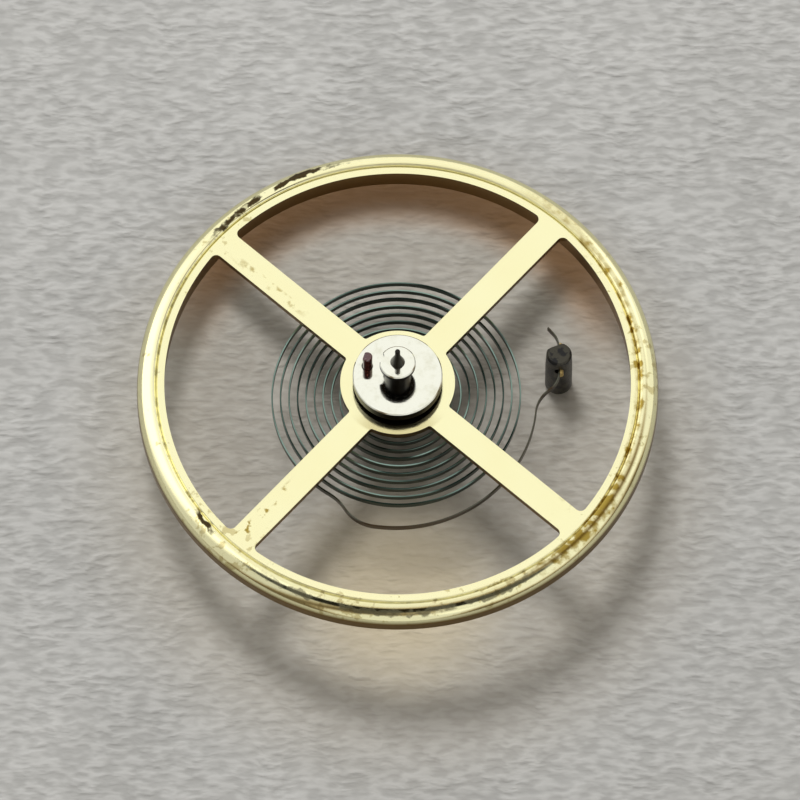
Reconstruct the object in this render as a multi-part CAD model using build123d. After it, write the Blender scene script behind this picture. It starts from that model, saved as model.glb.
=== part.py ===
from build123d import *
import math
import os
from collections import namedtuple

# A watch balance, complete: wheel, staff, double roller, hairspring, collet and stud.
# Sizes are in millimetres. The staff stands along +Z, with the roller end up, and the origin
# is the tip of the lower pivot, the one that runs under the balance cock.

# Levels along the staff
plate_top = 1.65            # top face of the wheel's arms, above the lower pivot's tip
collet_play = 0.08          # from the rivet down to the collet, which sets the spring's level

# Balance wheel
wheel_r = 5.0
rim_width = 0.53
rim_height = 0.50
plate_thickness = 0.15
hub_r = 1.10
arm_count = 4
arm_width = 0.54
arm_deg = 48.2              # direction of the first arm
hub_corner_r = 0.06
rim_corner_r = 0.12
groove_slope = 0.04         # width of the slope from the flat band down into the turned groove
groove_depth = 0.04
bead_rise = 0.01            # of the bead's crown above the flat band
bead_inner_r = 0.06         # rounding from the groove up to the crown
bead_outer_r = 0.30         # rounding from the crown out to the rim's wall
rim_chamfer = 0.05

# Balance staff
pivot_r = 0.05
pivot_length = 0.20
pivot_tip_r = 0.02          # rounding of the pivot ends
pivot_flare_r = 0.10
cock_arbor_r = 0.20
collet_seat_r = 0.30
collet_seat_end = 0.06      # how far the seat runs on below the collet
seat_chamfer = 0.03
wheel_seat_r = 0.38
rivet_lip = 0.08            # how far the rivet spreads beyond the wheel's hole
rivet_height = 0.06
flange_lip = 0.06           # the same for the staff's own hub, which the wheel sits against
flange_height = 0.12
roller_seat_r = 0.15        # at the staff's hub
roller_seat_taper = 0.01    # how much smaller the seat is where the upper pivot's cone starts
roller_cone_height = 0.28   # of that cone

# Double roller
roller_edge = 0.15          # metal from the jewel out to the impulse roller's rim
impulse_roller_height = 0.22
roller_chamfer = 0.02
safety_neck_r = 0.25
safety_neck_height = 0.44
safety_flange_r = 0.345
safety_flange_height = 0.12
crescent_r = 0.14           # passing hollow in the safety roller, in line with the jewel
crescent_depth = 0.07

# Impulse jewel and its shellac
jewel_deg = 162.0
jewel_r = 0.10
jewel_flat = 0.03           # how much the flat takes off the jewel's outer side
jewel_rise = 0.41           # above the impulse roller's face
jewel_play = 0.01
shellac_r = 0.14
shellac_play = 0.03         # between the shellac and the staff's hub
shellac_height = 0.05
shellac_crown_share = 0.6   # the bead's flattened crown, as a share of its foot

# Hairspring
spring_thickness = 0.03
spring_height = 0.13
coil_pitch = 0.163
coil_count = 10             # whole turns before the last half turn
coil_clearance = 0.176      # from the collet out to the first coil
coil_start_deg = -70.0      # where each half turn about the staff's axis begins
last_sweep_deg = 126.9      # the part of the last opening half turn before the dogleg
collet_lead = 0.40          # from the middle of the collet's hole to the first bend
collet_tail = 0.20          # from there back to the spring's inner end
dogleg_out_r, dogleg_out_deg = 0.917, 26.2
dogleg_back_r, dogleg_back_deg = 0.783, 50.3
terminal_rise, terminal_deg = 0.351, 93.5   # of the outer curve's radius over the last coil's
stud_out_r, stud_out_deg = 0.651, 48.2
stud_in_r, stud_in_deg = 0.46, 54.3
stud_lead = 0.02            # straight run before the stud
tail_bend_r, tail_bend_deg = 0.45, 40.0
tail_length = 0.15          # straight end beyond that last bend

# Collet and its pin
collet_wall = 0.25
collet_height = 0.50
collet_slit = 0.07
collet_hole_r = 0.09
collet_pin_overhang = 0.06

# Stud and its pin
stud_r = 0.26
stud_height = 1.30
stud_head = 0.27            # from the spring's middle up to the stud's top
stud_chamfer = 0.04
stud_flat = 0.08            # how much the flat on the stud's head takes off
stud_flat_deg = 112.0
stud_head_length = 0.45     # of the head, which has the flat and tapers upwards
stud_head_taper = 0.015     # how much smaller the head is at its top
stud_hole_r = 0.09
stud_pin_overhang = 0.07

pin_play = 0.005            # between either pin and the wall of its hole
pin_taper = 0.01            # how much smaller either pin is at its thin end
cut_overrun = 0.5           # how far a cutter runs past what it cuts

# Levels and radii that follow from those sizes
plate_bottom = plate_top - plate_thickness
rivet_bottom = plate_bottom - rivet_height
flange_top = plate_top + flange_height
roller_top = flange_top + impulse_roller_height
neck_top = roller_top + safety_neck_height
safety_top = neck_top + safety_flange_height
staff_top = safety_top + roller_cone_height + pivot_length
spring_z = rivet_bottom - collet_play - collet_height / 2
rim_inner_r = wheel_r - rim_width
flange_r = wheel_seat_r + flange_lip
jewel_place_r = flange_r + shellac_play + shellac_r
impulse_roller_r = jewel_place_r + jewel_r + roller_edge
collet_r = collet_seat_r + collet_wall
wall_middle_r = (collet_seat_r + collet_r) / 2
coil_inner_r = collet_r + coil_clearance
coil_outer_r = coil_inner_r + coil_pitch * coil_count
terminal_r = coil_outer_r + terminal_rise
midway_share = 0.5

Stretch = namedtuple("Stretch", "start heading length turn")


def ahead(degrees):
    """The direction of a heading, as a vector in the plane of the spring."""
    return Vector(1, 0).rotate(Axis.Z, degrees)


def revolved(points):
    """A turned piece, from the outline of its half section as (radius, level) points."""
    corners = [(radius, 0, level) for radius, level in points]
    return revolve(make_face(Polyline(*corners, close=True)), Axis.Z)


def section_arc(centre_r, centre_level, radius, first_deg, last_deg):
    """An arc in a turned piece's half section."""
    points = []
    for degrees in (first_deg, (first_deg + last_deg) / 2, last_deg):
        out, up = math.cos(math.radians(degrees)), math.sin(math.radians(degrees))
        points.append((centre_r + radius * out, 0, centre_level + radius * up))
    return ThreePointArc(*points)


def point_on(stretch, share, side=0.0):
    """A point along a stretch of the spring, and so far to the left of its middle line."""
    if not stretch.turn:
        middle = stretch.start + ahead(stretch.heading) * stretch.length * share
        return middle + ahead(stretch.heading + 90) * side
    radius = stretch.length / math.radians(stretch.turn)
    centre = stretch.start + ahead(stretch.heading + 90) * radius
    return centre - ahead(stretch.heading + 90 + stretch.turn * share) * (radius - side)


def follow(start, heading, steps):
    """The stretches of a line that is straight over each (length, 0) and an arc over each
    (radius, turn), where a negative turn bends to the right."""
    stretches = []
    for size, turn in steps:
        length = size * math.radians(abs(turn)) if turn else size
        stretches.append(Stretch(start, heading, length, turn))
        start = point_on(stretches[-1], 1)
        heading += turn
    return stretches


def spring_line():
    """The spring's middle line, seen from above: a straight end in the collet, a tight bend,
    turns of half circles about two centres, the dogleg, the outer curve and the stud."""
    reach = coil_inner_r**2 - wall_middle_r**2 - collet_lead**2
    bend_r = reach / (2 * (coil_inner_r - wall_middle_r))
    meets_deg = math.degrees(math.atan2(wall_middle_r - bend_r, -collet_lead))
    collet_deg = coil_start_deg - meets_deg
    start = Vector(collet_tail, wall_middle_r).rotate(Axis.Z, collet_deg)
    steps = [(collet_tail + collet_lead, 0), (bend_r, meets_deg - 90)]
    for turn in range(coil_count):
        steps.append((coil_inner_r + coil_pitch * turn, 180))
        steps.append((coil_inner_r + coil_pitch * (turn + midway_share), 180))
    steps.append((coil_outer_r, 180))
    steps.append((coil_outer_r + coil_pitch * midway_share, last_sweep_deg))
    steps.append((dogleg_out_r, -dogleg_out_deg))
    steps.append((dogleg_back_r, dogleg_back_deg))
    steps.append((terminal_r, terminal_deg))
    steps.append((stud_out_r, -stud_out_deg))
    steps.append((stud_in_r, stud_in_deg))
    steps.append((stud_lead + 2 * stud_r, 0))
    steps.append((tail_bend_r, tail_bend_deg))
    steps.append((tail_length, 0))
    return follow(start, collet_deg + 180, steps), collet_deg


spring_path, collet_turn = spring_line()
stud_run = spring_path[-3]
stud_place = stud_run.start + ahead(stud_run.heading) * (stud_lead + stud_r)


def beside(stretch, side):
    """One edge of the ribbon, beside one stretch of its middle line."""
    first, last = point_on(stretch, 0, side), point_on(stretch, 1, side)
    if not stretch.turn:
        return Line(first, last)
    return ThreePointArc(first, point_on(stretch, midway_share, side), last)


def hairspring():
    """The flat ribbon, on edge: one unbroken band from the collet to the stud's far side."""
    half = spring_thickness / 2
    edges = [beside(stretch, side) for side in (half, -half) for stretch in spring_path]
    for stretch, share in ((spring_path[0], 0), (spring_path[-1], 1)):
        edges.append(Line(point_on(stretch, share, half), point_on(stretch, share, -half)))
    ribbon = extrude(make_face(edges), spring_height)
    return Pos(0, 0, spring_z - spring_height / 2) * ribbon


def balance_wheel():
    """Rim, arms and hub in one piece: a turned section with four windows cut through it."""
    rim_bottom = plate_top - rim_height
    crown = plate_top + bead_rise
    crown_r = wheel_r - bead_outer_r
    foot_deg = 180 - math.degrees(math.asin(1 - (bead_rise + groove_depth) / bead_inner_r))
    groove_r = crown_r + bead_inner_r * math.cos(math.radians(foot_deg))
    bead = [
        section_arc(crown_r, crown - bead_inner_r, bead_inner_r, foot_deg, 90),
        section_arc(crown_r, crown - bead_outer_r, bead_outer_r, 90, 0),
    ]
    outline = [
        (wheel_r, crown - bead_outer_r),
        (wheel_r, rim_bottom + rim_chamfer),
        (wheel_r - rim_chamfer, rim_bottom),
        (rim_inner_r, rim_bottom),
        (rim_inner_r, plate_bottom),
        (wheel_seat_r, plate_bottom),
        (wheel_seat_r, plate_top),
        (groove_r - groove_slope, plate_top),
        (groove_r, plate_top - groove_depth),
    ]
    rest = Polyline(*[(radius, 0, level) for radius, level in outline])
    wheel = revolve(make_face([*bead, rest]), Axis.Z)
    arms = [Rot(0, 0, arm_deg + 360 / arm_count * k) * Pos(rim_inner_r / 2, 0)
            * Rectangle(rim_inner_r, arm_width) for k in range(arm_count)]
    windows = Circle(rim_inner_r) - Circle(hub_r) - arms
    for window in windows.faces():
        wheel -= window_cutter(window)
    return wheel


def window_cutter(window):
    """One window's cutter, with small corners at the hub and larger ones at the rim."""
    middle_r = (hub_r + rim_inner_r) / 2
    at_hub = [v for v in window.vertices() if math.hypot(v.X, v.Y) < middle_r]
    eased = window.fillet_2d(hub_corner_r, at_hub)
    at_rim = [v for v in eased.vertices() if math.hypot(v.X, v.Y) > middle_r]
    eased = eased.fillet_2d(rim_corner_r, at_rim)
    cutter = extrude(eased, plate_thickness + 2 * cut_overrun)
    return Pos(0, 0, plate_bottom - cut_overrun) * cutter


def seat_r_at(level):
    """Radius at a level of the tapered seat that both rollers are pushed onto."""
    share = (level - flange_top) / (safety_top - flange_top)
    return roller_seat_r - roller_seat_taper * share


def balance_staff():
    """The steel staff, turned in one piece between its two pivots."""
    seat_foot = spring_z - collet_height / 2 - collet_seat_end
    rivet_r = wheel_seat_r + rivet_lip
    cone_top = staff_top - pivot_length
    flare_top = pivot_length + pivot_flare_r
    outline = [
        (0, 0),
        (pivot_r - pivot_tip_r, 0),
        (pivot_r, pivot_tip_r),
        (pivot_r, pivot_length),
        (pivot_r + pivot_flare_r, flare_top),
        (cock_arbor_r, seat_foot),
        (collet_seat_r - seat_chamfer, seat_foot),
        (collet_seat_r, seat_foot + seat_chamfer),
        (collet_seat_r, rivet_bottom),
        (rivet_r - rivet_height / 2, rivet_bottom),
        (rivet_r, plate_bottom),
        (wheel_seat_r, plate_bottom),
        (wheel_seat_r, plate_top),
        (flange_r, plate_top),
        (flange_r, flange_top),
        (seat_r_at(flange_top), flange_top),
        (seat_r_at(safety_top), safety_top),
        (pivot_r, cone_top),
        (pivot_r, staff_top - pivot_tip_r),
        (pivot_r - pivot_tip_r, staff_top),
        (0, staff_top),
    ]
    return revolved(outline)


def impulse_roller():
    """The large roller: a polished disc with a hole for the staff and one for the jewel."""
    disc = revolved([
        (seat_r_at(flange_top), flange_top),
        (impulse_roller_r, flange_top),
        (impulse_roller_r, roller_top - roller_chamfer),
        (impulse_roller_r - roller_chamfer, roller_top),
        (seat_r_at(roller_top), roller_top),
    ])
    hole = Cylinder(jewel_r + jewel_play, impulse_roller_height + 2 * cut_overrun)
    return disc - Rot(0, 0, jewel_deg) * Pos(jewel_place_r, 0, roller_top) * hole


def safety_roller():
    """The small roller on its neck, with the passing hollow that lets the guard pin by."""
    spool = revolved([
        (seat_r_at(roller_top), roller_top),
        (safety_neck_r, roller_top),
        (safety_neck_r, neck_top),
        (safety_flange_r, neck_top),
        (safety_flange_r, safety_top - roller_chamfer),
        (safety_flange_r - roller_chamfer, safety_top),
        (seat_r_at(safety_top), safety_top),
    ])
    hollow = Pos(0, 0, neck_top) * Cylinder(
        crescent_r, safety_flange_height, align=(Align.CENTER, Align.CENTER, Align.MIN))
    reach = safety_flange_r + crescent_r - crescent_depth
    return spool - Rot(0, 0, jewel_deg) * Pos(reach, 0, 0) * hollow


def impulse_jewel():
    """The ruby pin that the pallet fork's slot takes: round, with a flat on its outer side."""
    length = impulse_roller_height + jewel_rise
    flat_box = Box(jewel_flat, 2 * jewel_r, length, align=(Align.MAX, Align.CENTER, Align.MIN))
    pin = Cylinder(jewel_r, length, align=(Align.CENTER, Align.CENTER, Align.MIN))
    pin -= Pos(jewel_r, 0, 0) * flat_box
    return Rot(0, 0, jewel_deg) * Pos(jewel_place_r, 0, flange_top) * pin


def jewel_shellac():
    """The bead of shellac under the impulse roller that holds the jewel."""
    bead = revolved([
        (0, 0),
        (shellac_r, 0),
        (shellac_r * shellac_crown_share, -shellac_height),
        (0, -shellac_height),
    ])
    return Rot(0, 0, jewel_deg) * Pos(jewel_place_r, 0, flange_top) * bead


def hole_along(radius, length):
    """A round cutter that lies along X, centred on the origin."""
    return Rot(0, 90, 0) * Cylinder(radius, length)


def half_pin(hole_r, length, side):
    """A taper pin that lies along X in a hole beside the ribbon, flat where it grips it."""
    thick_r = hole_r - pin_play
    pin = Rot(0, 90, 0) * Cone(thick_r, thick_r - pin_taper, length)
    gap = spring_thickness / 2
    keep = Box(length, hole_r, 2 * hole_r, align=(Align.CENTER, Align.MIN, Align.CENTER))
    if side > 0:
        return pin & Pos(0, gap, 0) * keep
    return pin & Rot(0, 0, 180) * Pos(0, gap, 0) * keep


def collet():
    """The split brass ring that grips the staff and holds the spring's inner end."""
    ring = revolved([
        (collet_seat_r, -collet_height / 2),
        (collet_r - seat_chamfer, -collet_height / 2),
        (collet_r, seat_chamfer - collet_height / 2),
        (collet_r, collet_height / 2 - seat_chamfer),
        (collet_r - seat_chamfer, collet_height / 2),
        (collet_seat_r, collet_height / 2),
    ])
    ring -= Pos(0, wall_middle_r, 0) * hole_along(collet_hole_r, 2 * collet_r)
    slit = Box(collet_slit, collet_r, collet_height, align=(Align.CENTER, Align.MAX, Align.CENTER))
    return Pos(0, 0, spring_z) * Rot(0, 0, collet_turn) * (ring - slit)


def collet_pin():
    """The taper pin that wedges the spring's inner end in the collet."""
    chord = 2 * math.sqrt(collet_r**2 - wall_middle_r**2)
    pin = half_pin(collet_hole_r, chord + 2 * collet_pin_overhang, 1)
    return Pos(0, 0, spring_z) * Rot(0, 0, collet_turn) * Pos(0, wall_middle_r, 0) * pin


def at_stud(piece):
    """Places a piece made at the origin at the stud, with X along the spring."""
    return Pos(stud_place.X, stud_place.Y, spring_z) * Rot(0, 0, stud_run.heading) * piece


def stud():
    """The round steel post that the balance cock holds, drilled across for the spring."""
    top = stud_head
    foot = top - stud_height
    head_r = stud_r - stud_head_taper
    post = revolved([
        (0, foot),
        (stud_r - stud_chamfer, foot),
        (stud_r, foot + stud_chamfer),
        (stud_r, top - stud_head_length),
        (head_r, top - stud_chamfer),
        (head_r - stud_chamfer, top),
        (0, top),
    ])
    flat_box = Box(stud_flat, 2 * stud_r, stud_head_length,
                   align=(Align.MAX, Align.CENTER, Align.MAX))
    flat_turn = stud_flat_deg - stud_run.heading
    post -= Rot(0, 0, flat_turn) * Pos(stud_r, 0, top) * flat_box
    return at_stud(post - hole_along(stud_hole_r, 2 * stud_r + 2 * cut_overrun))


def stud_pin():
    """The taper pin that wedges the spring's outer end in the stud."""
    return at_stud(half_pin(stud_hole_r, 2 * (stud_r + stud_pin_overhang), -1))


def least_gap():
    """The smallest gap between two turns of the spring, measured on points along it."""
    marks, along = [], 0.0
    for stretch in spring_path:
        count = max(2, int(stretch.length / coil_pitch))
        for k in range(count):
            place = point_on(stretch, k / count)
            marks.append((along + stretch.length * k / count, place.X, place.Y))
        along += stretch.length
    gaps = [math.hypot(a[1] - b[1], a[2] - b[2]) for a in marks for b in marks
            if b[0] - a[0] > wall_middle_r * 2]
    return min(gaps) - spring_thickness, along


nodes = [
    balance_wheel,
    balance_staff,
    impulse_roller,
    safety_roller,
    impulse_jewel,
    jewel_shellac,
    collet,
    collet_pin,
    hairspring,
    stud,
    stud_pin,
]
os.makedirs("parts", exist_ok=True)
for make in nodes:
    export_step(make(), f"parts/{make.__name__}.step")
gap, spring_length = least_gap()
print("spring length", round(spring_length, 2), "least gap to itself", round(gap, 4))
print("stud at", round(stud_place.X, 4), round(stud_place.Y, 4),
      "heading", round(stud_run.heading % 360, 2))
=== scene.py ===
# %% [markdown]
# # A watch balance, dressed in Blender
# A balance is the wheel that swings to and fro and keeps a mechanical watch in time. The solids
# of its eleven pieces come from a packed model, true in size and place but faceted and grey.
# This lesson gives each piece a fine mesh and a finish, and leaves every place as it is.

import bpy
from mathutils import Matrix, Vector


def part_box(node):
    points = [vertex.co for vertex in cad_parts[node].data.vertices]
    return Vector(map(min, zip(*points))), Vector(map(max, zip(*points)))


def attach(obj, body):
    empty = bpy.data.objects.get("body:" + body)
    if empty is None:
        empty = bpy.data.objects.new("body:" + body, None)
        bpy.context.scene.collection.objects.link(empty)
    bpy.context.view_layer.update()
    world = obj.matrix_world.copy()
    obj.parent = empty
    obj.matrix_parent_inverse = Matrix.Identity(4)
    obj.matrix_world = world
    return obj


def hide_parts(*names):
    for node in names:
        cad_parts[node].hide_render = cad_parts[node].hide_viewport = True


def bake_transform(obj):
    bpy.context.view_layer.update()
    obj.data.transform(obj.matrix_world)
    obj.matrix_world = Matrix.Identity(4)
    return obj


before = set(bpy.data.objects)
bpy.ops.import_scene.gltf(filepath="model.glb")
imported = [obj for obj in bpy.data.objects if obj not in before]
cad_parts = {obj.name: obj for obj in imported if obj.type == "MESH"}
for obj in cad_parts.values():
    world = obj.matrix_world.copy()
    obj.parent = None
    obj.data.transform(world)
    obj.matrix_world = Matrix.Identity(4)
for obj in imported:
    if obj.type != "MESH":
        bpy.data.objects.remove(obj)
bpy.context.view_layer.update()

# %% Other modules
import bmesh
import bpy
import math
from collections import namedtuple
from mathutils import Matrix, Vector

print("Blender", bpy.app.version_string)

# %% [markdown]
# ## Units
# Blender counts in metres, and this balance is a hundredth of one across. Blender's bevels and
# cuts merge points that lie a thousandth of a millimetre apart, so each piece is first made with
# 1 unit = 1 mm, where that does no harm, and is scaled to metres at the very end.

# %% Levels, read from the frame in millimetres
mm = 0.001


def box_mm(node):
    """The lowest and highest corner of a packed solid, in millimetres."""
    low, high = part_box(node)
    return low / mm, high / mm


wheel_low, wheel_high = box_mm("balance_wheel")
staff_high = box_mm("balance_staff")[1]
roller_low, roller_high = box_mm("impulse_roller")
safety_low, safety_high = box_mm("safety_roller")
jewel_low, jewel_high = box_mm("impulse_jewel")
shellac_low, shellac_high = box_mm("jewel_shellac")
spring_low, spring_high = box_mm("hairspring")
collet_low, collet_high = box_mm("collet")
stud_low, stud_high = box_mm("stud")
bead_rise = 0.01
plate_thickness = 0.15
plate_top = wheel_high.z - bead_rise
plate_bottom = plate_top - plate_thickness
spring_z = (spring_low.z + spring_high.z) / 2
print("plate top", round(plate_top, 3), "spring", round(spring_z, 3), "mm above the pivot's tip")

# %% [markdown]
# ## From an outline to a mesh
# Nearly every piece of a watch comes off a lathe. So the first helper does what a lathe does: it
# takes half of a piece's section, as points of radius and level, and turns it about Z. A Screw
# modifier could do that too, but it leaves doubled points on the axis. Another helper extrudes a
# flat outline, for what a lathe can't cut.

# %% Arcs, directions and moves
arc_step_deg = 6.0


def arc(centre, radius, first_deg, last_deg, step_deg=arc_step_deg):
    """Points on an arc, from one direction to the other."""
    count = max(1, math.ceil(abs(last_deg - first_deg) / step_deg))
    turns = [math.radians(first_deg + (last_deg - first_deg) * k / count) for k in range(count + 1)]
    return [(centre[0] + radius * math.cos(t), centre[1] + radius * math.sin(t)) for t in turns]


def ahead(degrees):
    """The flat direction at an angle from +X."""
    return Vector((math.cos(math.radians(degrees)), math.sin(math.radians(degrees))))


def turn(degrees, axis="Z"):
    return Matrix.Rotation(math.radians(degrees), 4, axis)


def shift(x, y, z):
    return Matrix.Translation((x, y, z))


print("an arc has a point every", arc_step_deg, "degrees")

# %% Turned solids and prisms
turn_steps = 180


def join_rings(mesh, rings):
    """Faces between each ring and the next one, and from the last back to the first."""
    for ring, after in zip(rings, rings[1:] + rings[:1]):
        for k in range(max(len(ring), len(after))):
            corners = [ring[k % len(ring)], ring[(k + 1) % len(ring)],
                       after[(k + 1) % len(after)], after[k % len(after)]]
            unlike = [v for i, v in enumerate(corners) if v not in corners[:i]]
            if len(unlike) > 2:
                mesh.faces.new(unlike)
    bmesh.ops.recalc_face_normals(mesh, faces=mesh.faces)
    return mesh


def turned(outline, steps=turn_steps):
    """A solid turned about Z, from the (radius, level) points round its half section."""
    mesh = bmesh.new()
    rings = []
    for radius, level in outline:
        count = steps if radius > 0 else 1
        turns = [math.tau * k / count for k in range(count)]
        rings.append([mesh.verts.new((radius * math.cos(t), radius * math.sin(t), level))
                      for t in turns])
    return join_rings(mesh, rings)


def prism(outline, low, high):
    """A solid with one flat outline, from one level to another."""
    mesh = bmesh.new()
    rings = [[mesh.verts.new((x, y, level)) for x, y in outline] for level in (low, high)]
    for ring in rings:
        mesh.faces.new(ring)
    for k in range(len(outline)):
        after = (k + 1) % len(outline)
        mesh.faces.new((rings[0][k], rings[0][after], rings[1][after], rings[1][k]))
    bmesh.ops.recalc_face_normals(mesh, faces=mesh.faces)
    return mesh


def drill(radius, low, high, steps):
    """A round cutter on the Z axis, from one level to another."""
    return turned([(0, low), (radius, low), (radius, high), (0, high)], steps)


def moved(mesh, *matrices):
    """The same mesh after these moves, the last one first."""
    for matrix in reversed(matrices):
        mesh.transform(matrix)
    return mesh


print("one turn has", turn_steps, "steps")

# %% [markdown]
# ## From a mesh to a piece
# A cut is made by a Boolean modifier, and the small rounding that every real edge has by a Bevel
# modifier. A sharp edge in a render has no highlight, and that alone makes a model look unreal.
# The modifiers could stay on the piece. They are applied, so what is kept is a plain mesh in
# metres. Then the piece is tied to its body, to the solid that it stands for and to its finish.

# %% Blender objects
def as_object(name, mesh):
    """A Blender object from a mesh that was being edited."""
    data = bpy.data.meshes.new(name)
    mesh.to_mesh(data)
    mesh.free()
    made = bpy.data.objects.new(name, data)
    bpy.context.scene.collection.objects.link(made)
    return made


def evaluated(made):
    """The mesh that an object's modifiers give, in place of its own, without them."""
    bpy.context.view_layer.update()
    held = made.evaluated_get(bpy.context.evaluated_depsgraph_get())
    final = bpy.data.meshes.new_from_object(held)
    made.modifiers.clear()
    made.data = final
    return final


# %% Make a piece
sharp_deg = 32.0
edge_steps = 2


def shaped(name, mesh, cutters=(), edge=0.0):
    """A piece's finished mesh: cut, with its edges eased, and scaled to metres."""
    made = as_object(name, mesh)
    tools = [as_object("cutter", cutter) for cutter in cutters]
    for tool in tools:
        cut = made.modifiers.new("cut", "BOOLEAN")
        cut.operation, cut.solver, cut.object = "DIFFERENCE", "EXACT", tool
    if edge:
        ease = made.modifiers.new("ease", "BEVEL")
        ease.width, ease.segments = edge, edge_steps
        ease.limit_method, ease.angle_limit = "ANGLE", math.radians(sharp_deg)
    final = evaluated(made)
    for tool in tools:
        bpy.data.objects.remove(tool)
    final.shade_smooth()
    final.set_sharp_from_angle(angle=math.radians(sharp_deg))
    flats_first = made.modifiers.new("flats first", "WEIGHTED_NORMAL")
    flats_first.mode, flats_first.weight, flats_first.keep_sharp = "FACE_AREA", 100, True
    evaluated(made).transform(Matrix.Scale(mm, 4))
    return made


def fit(made, node, body, finish):
    """Ties a piece to the solid it stands for, the body that carries it and its finish."""
    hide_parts(node)
    made.data.materials.clear()
    made.data.materials.append(finish)
    if body:
        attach(made, body)
    print(made.name, "has", len(made.data.polygons), "faces and stands for", node)


print("an edge counts as sharp from", sharp_deg, "degrees on")

# %% [markdown]
# ## Shader maths as plain Python
# A procedural finish is a small calculation that Blender does at each point of a surface. Written
# as node after node it can't be read. So a Wire wraps a node's output, and its operators add the
# Math nodes. A vector goes through Vector Math, and two colours are mixed with a Mix node.

# %% Wires
class Wire:
    """The output of a node, which Python's operators can work on."""

    def __init__(self, finish, socket):
        self.finish, self.socket = finish, socket

    def __add__(self, other):
        return self.finish.maths("ADD", self, other)

    def __sub__(self, other):
        return self.finish.maths("SUBTRACT", self, other)

    def __rsub__(self, other):
        return self.finish.maths("SUBTRACT", other, self)

    def __mul__(self, other):
        return self.finish.maths("MULTIPLY", self, other)

    def __truediv__(self, other):
        return self.finish.maths("DIVIDE", self, other)

    def __pow__(self, other):
        return self.finish.maths("POWER", self, other)

    def __abs__(self):
        return self.finish.maths("ABSOLUTE", self, 0.0)

    __radd__ = __add__
    __rmul__ = __mul__


print("a wire takes + - * / ** and abs()")

# %% Finishes
class Finish:
    """One material or world, with the one method that adds any node to it."""

    def __init__(self, owner):
        self.owner = owner
        owner.use_nodes = True
        self.tree = owner.node_tree
        self.tree.nodes.clear()

    def node(self, kind, settings, sockets, output=0):
        """Adds a node, sets it up, then gives its sockets their values or links."""
        added = self.tree.nodes.new(kind)
        for name, setting in settings.items():
            setattr(added, name, setting)
        for name, value in sockets.items():
            if isinstance(value, Wire):
                self.tree.links.new(value.socket, added.inputs[name])
            else:
                added.inputs[name].default_value = value
        shown = [s for s in added.outputs if s.enabled]
        if not shown:
            return None
        return Wire(self, added.outputs[output] if isinstance(output, str) else shown[output])

    def maths(self, operation, first, second):
        """Adds a Math node, or a Vector Math node where a vector is among the values."""
        values = [first, second]
        kind = "ShaderNodeMath"
        if any(isinstance(v, Wire) and v.socket.type == "VECTOR" for v in values):
            values = [v if isinstance(v, (Wire, tuple)) else (v, v, v) for v in values]
            kind = "ShaderNodeVectorMath"
        return self.node(kind, {"operation": operation}, {0: values[0], 1: values[1]})

    def place(self):
        """Where a point of the surface is, in millimetres."""
        return self.node("ShaderNodeTexCoord", {}, {}, "Object") * (1 / mm)

    def upright(self):
        """How squarely the surface faces up or down: 1 on a flat top, 0 on a wall."""
        return abs(self.facing_up())

    def facing_up(self):
        """1 on a face that looks straight up, 0 on a wall, and less on an underside."""
        return self.axes(self.node("ShaderNodeTexCoord", {}, {}, "Normal"))[2]

    def axes(self, vector):
        """The X, Y and Z of a vector."""
        return [self.node("ShaderNodeSeparateXYZ", {}, {0: vector}, axis) for axis in "XYZ"]

    def around(self, place):
        """A point's X, its Y and how far it lies from the wheel's axis."""
        x, y = self.axes(place)[:2]
        return x, y, (x * x + y * y) ** 0.5

    def noise(self, place, size, detail=3.0, rough=0.5, stretch=(1.0, 1.0, 1.0)):
        """Cloudy noise from 0 to 1, with blotches of about that size in millimetres."""
        scaled = place * tuple(1 / (size * share) for share in stretch)
        sockets = {"Vector": scaled, "Scale": 1.0, "Detail": detail, "Roughness": rough}
        return self.node("ShaderNodeTexNoise", {}, sockets, "Fac")

    def rise(self, value, low, high):
        """0 up to low, 1 from high on, and a smooth step between."""
        sockets = {"Value": value, "From Min": low, "From Max": high}
        return self.node("ShaderNodeMapRange", {"interpolation_type": "SMOOTHSTEP"}, sockets)

    def mix(self, share, first, second):
        """From one colour to another, by a share."""
        return self.node("ShaderNodeMix", {"data_type": "RGBA"}, {0: share, 6: first, 7: second})

    def bump(self, height, depth):
        """The normal of a surface that stands up by height times a depth in millimetres."""
        return self.node("ShaderNodeBump", {}, {"Height": height, "Distance": depth * mm})

    def surface(self, sockets):
        """Ends a material in the Principled shader with these sockets."""
        shader = self.node("ShaderNodeBsdfPrincipled", {}, sockets)
        self.node("ShaderNodeOutputMaterial", {}, {"Surface": shader})
        return self.owner


print("a finish offers", ", ".join(name for name in vars(Finish) if name[0] != "_"))

# %% Colours
def new_finish(name):
    return Finish(bpy.data.materials.new(name))


def rgb(red, green, blue):
    """A colour as written on the screen, from 0 to 255, in the linear values that shaders use."""
    shares = [level / 255 for level in (red, green, blue)]
    linear = [s / 12.92 if s <= 0.04045 else ((s + 0.055) / 1.055) ** 2.4 for s in shares]
    return (*linear, 1.0)


print("a colour of 128 on the screen is", round(rgb(128, 128, 128)[0], 3), "in linear light")
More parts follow.
